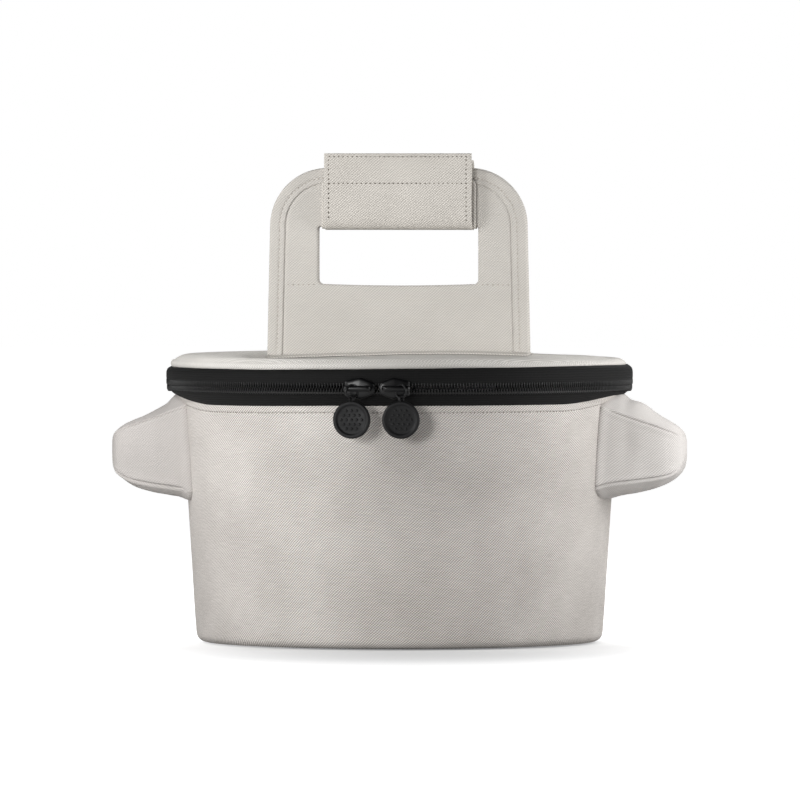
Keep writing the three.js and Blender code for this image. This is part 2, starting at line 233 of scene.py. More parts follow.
def grid_shape(points, round_rows=False, round_columns=False, flip=False, keep=None, uv=None):
    """Quads over a grid of points; a round direction joins its last line to its first.
    The weave coordinates are the mean lengths along rows and columns in millimetres, unless given."""
    rows, columns = points.shape[:2]
    looped = np.pad(points, ((0, round_rows), (0, round_columns), (0, 0)), mode="wrap")
    if uv is None:
        step_u = np.linalg.norm(np.diff(looped, axis=0), axis=2).mean(1)
        step_v = np.linalg.norm(np.diff(looped, axis=1), axis=2).mean(0)
        u, v = np.r_[0, np.cumsum(step_u)], np.r_[0, np.cumsum(step_v)]
        uv = np.stack(np.meshgrid(u, v, indexing="ij"), -1)
    i, j = np.meshgrid(np.arange(len(looped) - 1), np.arange(looped.shape[1] - 1), indexing="ij")
    i, j = i.ravel(), j.ravel()
    corners = [(i, j), (i + 1, j), (i + 1, j + 1), (i, j + 1)]
    corners = corners[::-1] if flip else corners
    faces = np.stack([(a % rows) * columns + b % columns for a, b in corners], 1)
    weave = np.stack([uv[a, b] for a, b in corners], 1)
    flat = points.reshape(-1, 3)
    if keep is not None:
        kept = keep(flat[faces].mean(1))
        faces, weave = faces[kept], weave[kept]
    return flat, faces, weave


def from_above(grid):
    """Weave coordinates of a round cloth laid flat: the x and y of its points, closed round."""
    return np.concatenate([grid, grid[:1]])[..., :2]


def joined(*shapes):
    """Several shapes as one, their face numbers moved up past the points before them."""
    starts = np.cumsum([0] + [len(points) for points, _, _ in shapes[:-1]])
    points = np.concatenate([points for points, _, _ in shapes])
    faces = np.concatenate([faces + start for (_, faces, _), start in zip(shapes, starts)])
    return points, faces, np.concatenate([weave for _, _, weave in shapes])


def repeated(shape, places, along, up, out):
    """Copies of a small shape, its x, y and z laid along, up and out at each place."""
    points, faces, weave = shape
    axes = np.stack(np.broadcast_arrays(along, up, out, places)[:3], 1)
    copies = places[:, None] + np.einsum("pk,nkc->npc", points, axes)
    shift = (np.arange(len(places)) * len(points))[:, None, None]
    return copies.reshape(-1, 3), (faces[None] + shift).reshape(-1, 4), np.tile(weave, (len(places), 1, 1))


def mesh_piece(name, shape, finish, thick=0.0, sharp=None):
    """A mesh object from a shape in millimetres; thick gives cloth its body below the face."""
    points, faces, weave = shape
    mesh = bpy.data.meshes.new(name)
    mesh.from_pydata((points * MM).tolist(), [], faces.tolist())
    layer = mesh.uv_layers.new(name="weave")
    layer.data.foreach_set("uv", weave.reshape(-1).astype(np.float32))
    work = bmesh.new()
    work.from_mesh(mesh)
    bmesh.ops.remove_doubles(work, verts=work.verts, dist=1e-6)
    work.to_mesh(mesh)
    work.free()
    mesh.polygons.foreach_set("use_smooth", np.ones(len(mesh.polygons), bool))
    if sharp:
        mesh.set_sharp_from_angle(angle=np.radians(sharp))
    mesh.materials.append(finish)
    piece = bpy.data.objects.new(name, mesh)
    scene.collection.objects.link(piece)
    if thick:
        body = piece.modifiers.new("cloth_thickness", "SOLIDIFY")
        body.thickness = thick * MM
        body.offset = -1
    return piece


def dress(piece, body, *nodes, slot="canvas"):
    """The piece rides on a body and stands for the named solids, which are hidden; the slot is not used."""
    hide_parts(*nodes)
    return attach(piece, body)


def bend(piece, bodies, reach, *nodes):
    """The cloth's place is baked into its points, and it stands for the named solids, which are hidden;
    bodies and reach are not used.
    """
    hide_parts(*nodes)
    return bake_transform(piece)


# Finishes
# The threads, slubs and clouds of a cloth are counted over so many millimetres
COUNTED_OVER = 100.0
WANDER_COUNT = 12
SLUB_COUNT = (8, 110)
CLOUD_COUNT = 2
# Width of a mottle's patches, and how high the full relief of a weave or a grain stands, in millimetres
MOTTLE_WIDTH = 6.25
WEAVE_LIFT = 0.4
GRAIN_LIFT = 0.2
# The sockets of a mix node that hold its two colours, and the one that gives their mix
FIRST_COLOUR = 6
SECOND_COLOUR = 7
MIXED_COLOUR = 2


def linear(code):
    """The linear colour of an sRGB hex value."""
    parts = np.array([int(code[k : k + 2], 16) for k in (1, 3, 5)]) / 255
    low, high = parts / 12.92, ((parts + 0.055) / 1.055) ** 2.4
    return (*np.where(parts <= 0.04045, low, high).tolist(), 1.0)


def add_node(tree, kind, links=None, values=None, **settings):
    """One shader node: its settings, its sockets' fixed values, and the outputs that feed its sockets."""
    made = tree.nodes.new(f"ShaderNode{kind}")
    for key, value in settings.items():
        setattr(made, key, value)
    for socket, value in (values or {}).items():
        made.inputs[socket].default_value = value
    for socket, (source, output) in (links or {}).items():
        tree.links.new(source.outputs[output], made.inputs[socket])
    return made


def empty_finish(name):
    """A material with nothing but its output, and its node tree."""
    finish = bpy.data.materials.new(name)
    finish.use_nodes = True
    finish.node_tree.nodes.clear()
    return finish, finish.node_tree, add_node(finish.node_tree, "OutputMaterial")


def woven_cloth(name, dark, light, rib, yarn, relief, rough, spec, slub, blotch=0.5):
    """Cloth as two waves on its weave coordinates: the ribs, and a fainter one for the yarns that cross
    them, each given as its count over 100 mm along u and v. Slow noise lets the ribs wander, noise
    stretched along the thread makes some yarns darker, and wide noise clouds the colour."""
    finish, tree, output = empty_finish(name)
    weave = (add_node(tree, "UVMap", uv_map="weave"), "UV")
    slow = {"Scale": WANDER_COUNT / COUNTED_OVER, "Detail": 2.0}
    wander = add_node(tree, "TexNoise", {"Vector": weave}, slow)
    drift = add_node(tree, "Math", {0: (wander, "Fac")}, {1: 5.0}, operation="MULTIPLY")

    def wave(count):
        """The sine of one turn for each thread along u and v, moved on by the drift."""
        rate = np.array(count) / COUNTED_OVER
        steps = {1: (*(2 * np.pi * rate), 0.0)}
        turn = add_node(tree, "VectorMath", {0: weave}, steps, operation="DOT_PRODUCT")
        moved = add_node(tree, "Math", {0: (turn, "Value"), 1: (drift, 0)}, operation="ADD")
        return add_node(tree, "Math", {0: (moved, 0)}, operation="SINE"), 0

    mixed = add_node(tree, "Math", {0: wave(yarn), 2: wave(rib)}, {1: 0.5}, operation="MULTIPLY_ADD")
    height = add_node(tree, "MapRange", {0: (mixed, 0)}, {"From Min": -1.5, "From Max": 1.5})
    stretch = {"Scale": (*(np.array(SLUB_COUNT) / COUNTED_OVER), 1.0)}
    along = add_node(tree, "Mapping", {"Vector": weave}, stretch)
    threads = add_node(tree, "TexNoise", {"Vector": (along, 0)}, {"Scale": 1.0, "Detail": 3.0})
    wide = {"Scale": CLOUD_COUNT / COUNTED_OVER, "Detail": 3.0}
    clouds = add_node(tree, "TexNoise", {"Vector": weave}, wide)
    toning = {0: (threads, "Fac"), 2: (height, 0)}
    toned = add_node(tree, "Math", toning, {1: slub}, operation="MULTIPLY_ADD")
    clouding = {0: (clouds, "Fac"), 2: (toned, 0)}
    clouded = add_node(tree, "Math", clouding, {1: blotch}, operation="MULTIPLY_ADD")
    middle = 0.5 * (slub + blotch)
    share = add_node(tree, "MapRange", {0: (clouded, 0)}, {"From Min": middle, "From Max": middle + 1})
    tones = {FIRST_COLOUR: linear(dark), SECOND_COLOUR: linear(light)}
    colour = add_node(tree, "Mix", {"Factor": (share, 0)}, tones, data_type="RGBA")
    raised = {"Strength": relief, "Distance": WEAVE_LIFT * MM}
    lift = add_node(tree, "Bump", {"Height": (height, 0)}, raised)
    links = {"Base Color": (colour, MIXED_COLOUR), "Normal": (lift, 0)}
    cloth = add_node(tree, "BsdfPrincipled", links, {"Roughness": rough, "Specular IOR Level": spec})
    tree.links.new(cloth.outputs[0], output.inputs[0])
    return finish


def grained_finish(name, colour, mottle, mix, rough, grain_mm, relief, spec, coat=0.0):
    """A moulded, painted or pressed surface: fine grain in the relief, and soft patches that draw the
    colour towards the mottle and shift the roughness a little either way."""
    finish, tree, output = empty_finish(name)
    place = (add_node(tree, "TexCoord"), "Object")
    grit = {"Scale": 1 / (grain_mm * MM), "Detail": 4.0}
    grain = add_node(tree, "TexNoise", {"Vector": place}, grit)
    patches = {"Scale": 1 / (MOTTLE_WIDTH * MM), "Detail": 3.0}
    patch = add_node(tree, "TexNoise", {"Vector": place}, patches)
    tint = {"From Min": 0.4, "From Max": 0.7, "To Max": mix}
    share = add_node(tree, "MapRange", {0: (patch, "Fac")}, tint)
    tones = {FIRST_COLOUR: linear(colour), SECOND_COLOUR: linear(mottle)}
    tone = add_node(tree, "Mix", {"Factor": (share, 0)}, tones, data_type="RGBA")
    sheen = {"From Min": 0.3, "From Max": 0.7, "To Min": rough * 0.85, "To Max": rough * 1.15}
    gloss = add_node(tree, "MapRange", {0: (patch, "Fac")}, sheen)
    raised = {"Strength": relief, "Distance": GRAIN_LIFT * MM}
    lift = add_node(tree, "Bump", {"Height": (grain, "Fac")}, raised)
    links = {"Base Color": (tone, MIXED_COLOUR), "Roughness": (gloss, 0), "Normal": (lift, 0)}
    values = {"Coat Weight": coat, "Coat Roughness": 0.12, "Specular IOR Level": spec}
    surface = add_node(tree, "BsdfPrincipled", links, values)
    tree.links.new(surface.outputs[0], output.inputs[0])
    return finish


# Ribs and cross yarns of each weave, counted along its length and width
TWILL = {"rib": (47, -50), "yarn": (43, 61)}
PLAIN = {"rib": (100, 0), "yarn": (0, 100)}
RIBBED = {"rib": (0, 62), "yarn": (90, 0)}
TWIST = {"rib": (167, -100), "yarn": (30, 120)}


def twill(name, dark, light, relief, blotch):
    """Cotton twill: dull, with uneven yarns in diagonal ribs, drawn coarser than life at 1.5 mm to show."""
    return woven_cloth(name, dark, light, **TWILL,
                       relief=relief, rough=0.92, spec=0.2, slub=0.3, blotch=blotch)


def sewing_thread(name, dark, light):
    """Spun cotton thread: dull, with a slanting twist every 0.6 mm."""
    return woven_cloth(name, dark, light, **TWIST, relief=0.5, rough=0.85, spec=0.2, slub=0.3, blotch=0.2)


# Unbleached cotton twill in two tones of yarn, its ribs standing out
canvas = twill("cotton_twill_canvas", "#7f7974", "#e8e3de", relief=0.5, blotch=0.36)
# The same twill pulled tight over padding: its ribs lie flatter and show less
tight_canvas = twill("padded_cotton_twill", "#aca8a2", "#d2cec8", relief=0.2, blotch=0.5)
# The same twill on the left pocket, its light yarn darker and its tones closer: painted shade that makes
# this pocket darker than the right one
shaded_pocket_canvas = twill("pocket_twill_painted_shade", "#a5a19d", "#c0bbb8", relief=0.25, blotch=0.6)
# The same twill on the right pocket, its light yarn lighter so its ribs show more: painted light that makes
# this pocket lighter than the left one
lit_pocket_canvas = twill("pocket_twill_painted_light", "#a5a19d", "#d5d1ce", relief=0.25, blotch=0.6)
# The same twill on the lid, its tones lighter and cooler than on the wall: painted light from above on the
# lid's top, its ribs a little flatter than on the wall
top_lit_lid_canvas = twill("lid_twill_painted_top_light", "#a5a29d", "#dedbd6", relief=0.3, blotch=0.4)
# The same twill doubled for the grip: worn smoother than the wall, its ribs as flat as the lid's
grip_canvas = twill("doubled_cotton_twill", "#9f9b94", "#ded9d2", relief=0.3, blotch=0.45)
# Plain polyester lining: straight weave drawn at 1 mm so that it shows, smoother and greyer than canvas
lining = woven_cloth("woven_polyester_lining", "#96938e", "#b5b2ac", **PLAIN,
                     relief=0.25, rough=0.6, spec=0.4, slub=0.3)
# Woven polyester zip tape: black, its ribs along the length drawn coarser than life at 1.6 mm
zip_tape = woven_cloth("woven_polyester_zip_tape", "#0c0c0c", "#171717", **RIBBED,
                       relief=0.4, rough=0.8, spec=0.12, slub=0.4)
# Spun cotton sewing thread drawn darker than the cloth: painted shade of the stitch holes, so that a seam
# reads as a dotted line
thread = sewing_thread("cotton_thread_painted_hole_shade", "#5f5850", "#857e76")
# The same thread in the cloth's own shade, for the panels
pale_thread = sewing_thread("undyed_cotton_thread", "#a0988f", "#bdb6ae")
# Nylon hook tape and brushed loop tape: dense short pile that reads as a fuzzy grain
hook_pile = grained_finish("nylon_hook_tape", "#cfcac2", "#a9a39a",
                           mix=0.8, rough=0.75, grain_mm=0.9, relief=1.0, spec=0.3)
loop_pile = grained_finish("brushed_nylon_loop_tape", "#d3cec6", "#b5afa5",
                           mix=0.7, rough=0.95, grain_mm=1.4, relief=1.0, spec=0.1)
# Nylon zip coil: spun and set, black with a satin gleam on each tooth
coil_nylon = grained_finish("black_nylon_coil", "#0b0b0b", "#141414",
                            mix=0.5, rough=0.45, grain_mm=0.6, relief=0.2, spec=0.3)
# Die-cast zinc under black enamel: a satin gloss with a faint orange peel
enamel = grained_finish("black_enamelled_zinc", "#050506", "#0a0a0b",
                        mix=0.5, rough=0.34, grain_mm=1.2, relief=0.12, spec=0.18, coat=0.06)
# Moulded silicone rubber: charcoal, matt from a fine spark-eroded mould
rubber = grained_finish("moulded_silicone_rubber", "#0a0a0b", "#111112",
                        mix=0.6, rough=0.5, grain_mm=0.35, relief=0.35, spec=0.2)
# Stiffener sheet, only inside: matt grey plastic with a faint extruded grain
board = grained_finish("matt_plastic_sheet", "#55534f", "#4a4844",
                       mix=0.6, rough=0.6, grain_mm=0.8, relief=0.3, spec=0.4)

bare_solids = {"base_board": board, "lid_board": board, "left_end_stop": enamel, "right_end_stop": enamel}
for node, finish in bare_solids.items():
    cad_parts[node].data.materials.clear()
    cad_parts[node].data.materials.append(finish)


# Sewing
def unit_bar(sides, blunt):
    """A round bar along x of half length and radius 1, drawn in at both ends as the root of one minus a
    power of the length."""
    turn = circle(sides)[:, None]
    long = np.linspace(-1, 1, 5)[None]
    full = np.sqrt(1 - np.abs(long) ** blunt)
    return stacked(long, full * np.cos(turn), full * np.sin(turn))


STITCH = grid_shape(unit_bar(6, 3) * STITCH_HALF, True)


def seam(line, out):
    """A row of stitches along a line: short rounded threads an even pitch apart, lying on the cloth."""
    travel = travel_along(line)
    count = max(2, int(travel[-1] / STITCH_PITCH))
    at = (np.arange(count) + 0.5) * travel[-1] / count
    along = sampled(line, travel, at + 0.4) - sampled(line, travel, at - 0.4)
    along /= np.linalg.norm(along, axis=1)[:, None]
    face = sampled(np.broadcast_to(out, line.shape), travel, at)
    side = np.cross(face, along)
    side /= np.linalg.norm(side, axis=1)[:, None]
    return repeated(STITCH, sampled(line, travel, at), along, side, np.cross(along, side))


# Bag: wall, base, lining and rim
# The wall's taper as radii at heights
TAPER_HEIGHTS = [0, 100, 169, 175]
TAPER_RADII = [141.6, 148.3, 152.8, 156.4]


def side_share(angle):
    """1 over the pockets at the left and right, 0 at the front and rear."""
    away = np.abs(np.degrees(np.angle(np.exp(1j * angle))))
    return ramp(52, 80, away) * (1 - ramp(100, 128, away))


def rim_height(angle):
    """Height of the wall's top edge, which climbs over the pockets and dips a little at the front left."""
    dip = 0.9 * ramp(0.1, 0.7, -np.sin(angle)) * ramp(0.0, 0.4, np.cos(angle))
    return RIM_Z + RIM_RISE * side_share(angle) - dip


def wall_radius(height):
    """The wall's taper: straight between its stations, flaring a little past the rim."""
    return np.interp(height, TAPER_HEIGHTS, TAPER_RADII)


def wall_surface(angle, height):
    """The canvas: taper, slow ripples that die out at the base and rim, a doubled hem and its groove."""
    below = rim_height(angle) - height
    slack = ramp(5, 30, height) * ramp(0, 25, below)
    hem = 0.7 * (1 - ramp(4.3, 4.9, below)) - 0.45 * bump(RIM_STITCH, 0.6, below)
    return wall_radius(height) + 0.7 * slack * ripple(angle, height) + hem


def base_curve(radius):
    """How far the base lifts off the ground towards its rounded edge."""
    return BASE_LIFT * ramp(118, 138, radius)


def outside_window(centres):
    """True for faces away from the openings between the bag and the ear pockets."""
    low_turn, high_turn, low, high = POCKET_WINDOW
    turn = np.degrees(np.arctan2(np.abs(centres[:, 0]), -centres[:, 1]))
    inside = (turn > low_turn) & (turn < high_turn) & (centres[:, 2] > low) & (centres[:, 2] < high)
    return ~inside


full_turn = np.radians(np.arange(-180, 180))[:, None]
lid_turn = full_turn[::2]
flat_turn = full_turn[::3]


def flat_cloth(name, radius, height, finish, thick, flip=False):
    """A round cloth laid flat: rings of the given radii at their heights, its weave straight across."""
    grid = around(radius, flat_turn, height)
    return mesh_piece(name, grid_shape(grid, True, flip=flip, uv=from_above(grid)), finish, thick)


corner_turn = np.radians(np.linspace(-80, -4, 9))[None]
corner_height = BASE_CORNER + (BASE_CORNER - BASE_LIFT) * np.sin(corner_turn)
corner_run = around(BASE_FLAT + BASE_CORNER * np.cos(corner_turn), full_turn, corner_height)
climb = np.r_[np.linspace(0.005, 0.945, 46), np.linspace(0.95, 1, 18)][None]
wall_height = BASE_CORNER + climb * (rim_height(full_turn) - BASE_CORNER)
wall_run = around(wall_surface(full_turn, wall_height), full_turn, wall_height)
wall_grid = np.concatenate([corner_run, wall_run], 1)
wall = mesh_piece("canvas_wall", grid_shape(wall_grid, True, keep=outside_window), canvas, CANVAS_THICK)
dress(wall, "bag", "outer_wall", "wall_foam")

base_radius = np.linspace(0, BASE_FLAT + 1.4, 60)[None]
base_height = 0.25 + base_curve(base_radius) - 0.2 * bump(BASE_STITCH, 1.0, base_radius)
base = flat_cloth("canvas_base", base_radius, base_height, canvas, CANVAS_THICK)
dress(base, "bag", "base_panel", "base_foam")

sewn_turn = np.radians(np.arange(-179.5, 180, 0.25))
sewn_height = rim_height(sewn_turn) - RIM_STITCH
rim_line = around(wall_surface(sewn_turn, sewn_height) + 0.1, sewn_turn, sewn_height)
base_line = around(BASE_STITCH, sewn_turn, 0.3 + base_curve(BASE_STITCH))
bag_seams = joined(seam(rim_line, around(1.0, sewn_turn, 0.0)), seam(base_line, -UP))
dress(mesh_piece("bag_topstitch", bag_seams, thread), "bag")

# Each station of the facing: how far inside the wall, and how far above its top edge
FACING_STATIONS = [(0.9, -0.4), (2.6, 0.3), (5.6, 0.3), (7.7, -0.5), (8.6, -2.5), (8.7, -9.0), (8.1, -9.6)]
facing_in, facing_rise = np.array(FACING_STATIONS).T[:, None]
facing_top = rim_height(full_turn)
facing_grid = around(wall_radius(facing_top) - facing_in, full_turn, facing_top + facing_rise)
facing = mesh_piece("rim_facing_cloth", grid_shape(facing_grid, True), canvas, FACING_THICK)
dress(facing, "bag", "rim_facing")

lining_height = LINING_FOOT + np.linspace(0, 1, 40)[None] * (rim_height(full_turn) - 4.0 - LINING_FOOT)
lining_radius = wall_radius(lining_height) - LINING_DEPTH + 0.35 * ripple(full_turn + 0.8, lining_height)
lining_grid = around(lining_radius, full_turn, lining_height)
lining_shape = grid_shape(lining_grid, True, flip=True, keep=outside_window)
wall_cloth = mesh_piece("wall_lining_cloth", lining_shape, lining, LINING_THICK)
dress(wall_cloth, "bag", "wall_lining", slot="lining")

floor_radius = np.linspace(0, wall_radius(LINING_FOOT) - LINING_DEPTH + 0.4, 40)[None]
floor_height = 9.5 + 0.35 * ripple(flat_turn, floor_radius) * ramp(5, 40, floor_radius)
floor_height = floor_height - 0.8 * bump(118, 1.6, floor_radius)
base_cloth = flat_cloth("base_lining_cloth", floor_radius, floor_height, lining, LINING_THICK, flip=True)
dress(base_cloth, "bag", "base_lining", slot="lining")

# Ear pockets: padded boxes that stand out at the left and right
# Each station: reach, half width, underside, lower seam, upper seam, top
POCKET_STATIONS = [
    [140.0, 49.6, 98.4, 110.6, 167.6, 180.0], [148.0, 49.0, 100.9, 112.0, 165.0, 177.6],
    [156.0, 48.4, 102.8, 113.2, 162.2, 174.0], [161.5, 47.7, 103.8, 113.9, 160.2, 168.6],
    [167.0, 46.8, 104.6, 114.5, 158.3, 165.6], [172.7, 45.5, 106.0, 115.2, 156.4, 162.8],
    [178.3, 43.9, 107.6, 115.9, 154.5, 160.0], [184.6, 41.6, 110.0, 116.8, 152.4, 157.2],
    [190.5, 38.6, 113.2, 118.0, 150.3, 154.2], [195.4, 34.4, 117.2, 120.2, 148.0, 150.7],
    [198.4, 27.5, 121.6, 123.2, 145.4, 146.8], [200.2, 18.0, 127.0, 128.0, 141.8, 142.6],
    [200.9, 8.0, 132.0, 132.6, 138.2, 138.6], [201.0, 0.0, 135.5, 135.5, 135.5, 135.5],
]
POCKET_FACE = 60
POCKET_ARCH = 50
POCKET_RINGS = 84
pocket_line = smooth_line(POCKET_STATIONS, 400)


def pocket_section(x, section, side):
    """Points round the box at their own reach: a nearly flat front and rear between the seams, and arched
    top and underside; section says which of the four each row belongs to and how far along it is.
    The right pocket is fuller on top, the left one flatter on top, lifted at its tip and squarer below."""
    part, t = section
    reach, *columns = pocket_line.T
    half, low, seam_low, seam_high, high = (np.interp(x, reach, column) for column in columns)
    if side > 0:
        low = low + 0.7 * bump(165, 14, x) + 0.9 * bump(148, 6, x)
        high = high + 3.6 * bump(170, 10, x)
        squareness = 6
    else:
        low = low + 0.4 * bump(165, 14, x) + 0.9 * bump(148, 6, x) + 1.2 * bump(193, 7, x)
        high = high - 1.2 * bump(176, 16, x)
        seam_low = low + 0.66 * np.maximum(seam_low - low, 0)
        squareness = 12
    bulge = 1.4 * (1 - t**2) * ramp(0, 30, half)
    middle, span = (seam_low + seam_high) / 2, (seam_high - seam_low) / 2
    over = seam_high + (high - seam_high) * (1 - np.abs(t) ** 3)
    under = seam_low - (seam_low - low) * (1 - np.abs(t) ** squareness)
    y = np.choose(part, [-half - bulge, half * t, half + bulge, -half * t])
    z = np.choose(part, [middle + t * span, over, middle - t * span, under])
    return y, z, half, seam_low, seam_high


def pocket_grid(side, inset):
    """A padded box that tapers to a blunt end: rings spaced from the wall to the tip, seams pulled in as
    grooves, and soft dents in the faces. An inset gives the plain box of the lining inside it."""
    counts = [POCKET_FACE, POCKET_ARCH, POCKET_FACE, POCKET_ARCH]
    t = np.concatenate([-np.cos(np.pi * np.arange(count) / count) for count in counts])[:, None]
    part = np.repeat([0, 1, 2, 3], counts)[:, None]
    share = 1 - (1 - np.linspace(0, 1, POCKET_RINGS)[None] ** 1.4) ** 1.6
    x = np.broadcast_to(POCKET_START + (POCKET_TIP - POCKET_START) * share, (t.size, POCKET_RINGS))
    # Where a ring's points start on the wall depends on their height, so the reach settles in a few rounds
    for _ in range(4):
        y, z, half, seam_low, seam_high = pocket_section(x, (part, t), side)
        root = np.sqrt(wall_radius(z[:, :1]) ** 2 - y[:, :1] ** 2) - 1.6
        x = root + (POCKET_TIP - root) * share
    above = z - POCKET_MIDDLE
    if inset:
        wide, tall = 1 - inset / np.array(POCKET_HALF)
        return stacked(side * (x - inset * share), y * wide, POCKET_MIDDLE + above * tall)
    near = np.minimum(np.abs(z - seam_low), np.abs(z - seam_high)) + np.maximum(half - np.abs(y), 0)
    groove = (2.8 * bump(0, 0.6, near) - 0.6 * bump(2.9, 1.7, near)) * ramp(16, 34, half)
    groove = groove * np.where(side * above > 0, ramp(3, 15, x - root), 1)
    groove = groove * (1 if side > 0 else 1 - 0.4 * ramp(0, 10, above))
    joint = (2.0 if side > 0 else 1.2) * bump(0, 1.3, x - root) - 0.7 * bump(4.5, 3.0, x - root)
    dents = ramp(0.06, 0.25, share) * ramp(6, 24, half) * (
        (0.8 + 0.3 * side) * bump(161 + 2 * side, 6, x) * bump(143, 18, z)
        + 0.6 * bump(179 - 3 * side, 7, x) * bump(124, 8, z)
        - 0.6 * bump(187, 7, x) * bump(139, 12, z)
    )
    pressed = (dents + joint) * ramp(0.5, 0.9, np.abs(y) / (half + 0.01))
    ends = ramp(14, 24, -above) + 0.3 * ramp(14, 24, above)
    y = y - np.sign(y) * (groove * 0.7 + pressed)
    z = z - np.sign(above) * (groove * 0.7 + joint * ends)
    return stacked(side * x, y, z)


def pocket_weave(grid, side):
    """Weave coordinates of a pocket: along its reach, and round each ring from the middle of its front."""
    reach = np.r_[0, np.cumsum(np.linalg.norm(np.diff(grid, axis=1), axis=2).mean(0))]
    step = np.linalg.norm(np.roll(grid, -1, 0) - grid, axis=2)
    ring = np.concatenate([np.zeros_like(step[:1]), np.cumsum(step, 0)])
    return stacked(side * reach[None], ring - ring[POCKET_FACE // 2])


def window_trim(side):
    """The binding round a pocket's opening: an oval tube that follows the rounded window in the wall."""
    _, high_turn, low, high = POCKET_WINDOW
    half_turn = high_turn - 90
    loop = rounded_loop(half_turn, half_turn, low, high, 3, 3, (30, 8, 30, 8))
    ring = circle(16)[None]
    turn_in = TRIM_HALF / WINDOW_RADIUS * inward(loop)[:, :1] * np.cos(ring)
    height = loop[:, 1:] + TRIM_HALF * inward(loop)[:, 1:] * np.cos(ring)
    radius = wall_radius(height) - 4.2 + 4.4 * np.sin(ring)
    return around(radius, side * (np.radians(90 + loop[:, :1]) + turn_in), height)


# The left pocket takes the twill with painted shade, the right one the twill with painted light
for name, side, finish in (("left", -1, shaded_pocket_canvas), ("right", 1, lit_pocket_canvas)):
    shell = pocket_grid(side, 0.0)
    shell_shape = grid_shape(shell, True, flip=side > 0, uv=pocket_weave(shell, side))
    cloth = mesh_piece(f"{name}_pocket_cloth", shell_shape, finish, POCKET_THICK, sharp=60)
    dress(cloth, "bag", f"{name}_pocket")
    liner_shape = grid_shape(pocket_grid(side, LINER_INSET), True, flip=side < 0)
    liner = mesh_piece(f"{name}_pocket_liner", liner_shape, lining, LINING_THICK)
    dress(liner, "bag", f"{name}_pocket_lining", slot="lining")
    trim_shape = grid_shape(window_trim(side), True, True, flip=side > 0)
    trim = mesh_piece(f"{name}_window_binding", trim_shape, canvas)
    dress(trim, "bag")


# Zip: tapes, teeth and hinge, each line given as radius and height
LOWER_TAPE_END = (161.6, 179.6)
UPPER_TAPE_LINE = [[161.9, 182.6], [163.0, 184.6], [163.2, 187.6],
                   [163.0, 190.4], [161.9, 192.3], [159.6, 193.6]]
HINGE_LINE = [[152.6, 168.6], [156.6, 170.6], [160.6, 174.2], [162.4, 178.0], [162.9, 181.0],
              [162.7, 184.5], [162.5, 188.0], [161.2, 191.0], [159.5, 193.2]]


def lid_lift(angle):
    """How far the lid's bound edge rides up: towards the right, with a little unevenness."""
    return 0.6 + 0.7 * np.sin(angle) + 0.5 * np.sin(2 * angle) + 0.15 * ripple(2 * angle, 0)


def tape_grid(name, angle, along):
    """A tape round the rim. The lower one runs from the wall's top edge to the coil and sags as half a sine;
    the upper one follows its line up to the lid's binding, and lifts with it as the square of the way."""
    if name == "lower":
        rim = rim_height(angle)
        start = wall_radius(rim) + 0.3
        radius = start + (LOWER_TAPE_END[0] - start) * along
        height = rim - 0.1 + (LOWER_TAPE_END[1] - rim) * along**1.1
        sag = 0.6 * np.sin(np.pi * along)
        return around(radius + sag, angle, height - sag)
    line = smooth_line(UPPER_TAPE_LINE, along.size)
    return around(line[None, :, 0], angle, line[None, :, 1] + lid_lift(angle) * along**2)


tape_turn = np.linspace(-TAPE_END, TAPE_END, 300)[:, None]
tape_across = np.linspace(0, 1, 16)[None]
for name, body in (("lower", "bag"), ("upper", "lid")):
    tape_shape = grid_shape(tape_grid(name, tape_turn, tape_across))
    tape = mesh_piece(f"{name}_zip_tape_cloth", tape_shape, zip_tape, TAPE_THICK)
    dress(tape, body, f"{name}_zip_tape", slot="zip_tape")

TOOTH = grid_shape(unit_bar(8, 4)[..., [1, 0, 2]] * TOOTH_HALF, True, flip=True)
tooth_step = TOOTH_PITCH / COIL_RADIUS
tooth_count = int(2 * (ZIP_END - 0.02) / tooth_step)
tooth_turn = (np.arange(tooth_count) - tooth_count / 2) * tooth_step
cord_turn = np.linspace(-ZIP_END, ZIP_END, 300)[:, None]
cord_ring = circle(8)[None]
for name, body, rise, shift in (("lower", "bag", -1, 0.0), ("upper", "lid", 1, 0.5)):
    turn = tooth_turn + shift * tooth_step
    spot = around(COIL_RADIUS - 0.6 + 0.2 * rise, turn, CHAIN_Z + rise * 1.9)
    tangent = stacked(np.cos(turn), np.sin(turn), 0.0)
    teeth = repeated(TOOTH, spot, tangent, UP, around(1.0, turn, 0.0))
    cord_height = CHAIN_Z + rise * 3.2 + 0.7 * np.sin(cord_ring)
    cord = around(COIL_RADIUS - 1.1 + 0.8 * np.cos(cord_ring), cord_turn, cord_height)
    coil = mesh_piece(f"{name}_zip_teeth", joined(teeth, grid_shape(cord, round_columns=True)), coil_nylon)
    dress(coil, body, f"{name}_zip_coil", slot="zip_coil")

hinge_turn = np.linspace(HINGE_EDGE, 2 * np.pi - HINGE_EDGE, 61)[:, None]
hinge_line = smooth_line(HINGE_LINE, 40)[None]
hinge_grid = around(hinge_line[..., 0], hinge_turn, hinge_line[..., 1])
hinge = mesh_piece("hinge_cloth", grid_shape(hinge_grid), canvas, HINGE_THICK)
bend(hinge, ("bag", "lid"), HINGE_BEND, "hinge_panel_lower", "hinge_panel_upper")

# Lid: a padded disc with a bound rim, each line given as radius and height
LID_CROWN = [[0, 203.9], [80, 203.2], [128, 202.6], [145, 202.2], [151, 201.6],
             [155.6, 199.6], [157.6, 197.8], [158.6, 196.6]]
LID_UNDER = [[0, LID_PAD_Z], [60, LID_PAD_Z], [110, LID_PAD_Z], [150, LID_PAD_Z],
             [156, LID_PAD_Z + 0.2], [BINDING_RADIUS, LID_PAD_Z + 1.0]]
